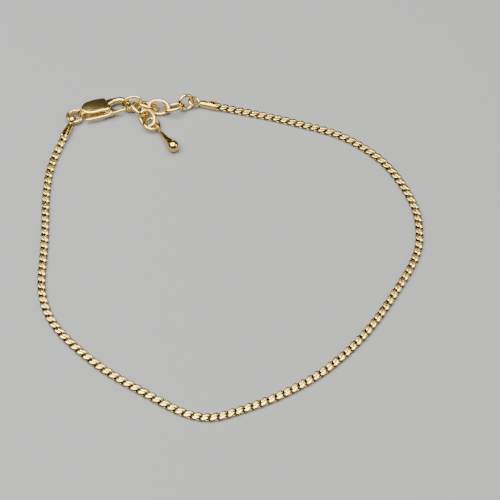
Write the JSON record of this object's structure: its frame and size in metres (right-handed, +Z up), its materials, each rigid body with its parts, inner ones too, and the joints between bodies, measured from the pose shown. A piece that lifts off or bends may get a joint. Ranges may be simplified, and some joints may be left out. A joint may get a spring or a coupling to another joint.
{
  "type": "chain anklet",
  "caption": "Flattened curb-link chain anklet with claw clasp, folded end caps, short link extender and ball drop, lying closed in a loose loop",
  "frame": {"origin": "middle of the footprint of the anklet's bounding box, on the surface it lies on", "axes": "+Z up, away from the surface the anklet lies on, -Y towards the camera side of the loop, +Y towards the clasp side, +X to the right as seen from the camera side"},
  "size_m": [0.0774, 0.0792, 0.0033],
  "materials": {
    "chain_a": "polished gold-tone plating",
    "chain_b": "polished gold-tone plating",
    "end_cap_left": "polished gold-tone plating",
    "end_cap_right": "polished gold-tone plating",
    "jump_ring": "polished gold-tone plating",
    "clasp_body": "polished gold-tone plating",
    "clasp_lever": "polished gold-tone plating",
    "clasp_rivet": "polished gold-tone plating",
    "extender_link_1": "polished gold-tone plating",
    "extender_link_2": "polished gold-tone plating",
    "extender_link_3": "polished gold-tone plating",
    "extender_link_4": "polished gold-tone plating",
    "extender_link_5": "polished gold-tone plating",
    "extender_link_6": "polished gold-tone plating",
    "extender_link_7": "polished gold-tone plating",
    "extender_link_8": "polished gold-tone plating",
    "drop": "polished gold-tone plating"
  },
  "bodies": {
    "anklet": {"chain_a": "chain_a", "chain_b": "chain_b", "end_cap_left": "end_cap_left", "end_cap_right": "end_cap_right", "jump_ring": "jump_ring", "clasp_body": "clasp_body", "clasp_rivet": "clasp_rivet", "extender_link_1": "extender_link_1", "extender_link_2": "extender_link_2", "extender_link_3": "extender_link_3", "extender_link_4": "extender_link_4", "extender_link_5": "extender_link_5", "extender_link_6": "extender_link_6", "extender_link_7": "extender_link_7", "extender_link_8": "extender_link_8", "drop": "drop"},
    "lever": {"clasp_lever": "clasp_lever"}
  },
  "joints": [
    {"name": "clasp_lever_hinge", "type": "hinge", "parent": "anklet", "child": "lever", "pos_m": [-0.02579, 0.03481, 0.00124], "axis": [-0.0368, -0.0108, 0.9993], "range_deg": [0, 9], "stiffness_Nm_per_rad": 0.0001}
  ]
}
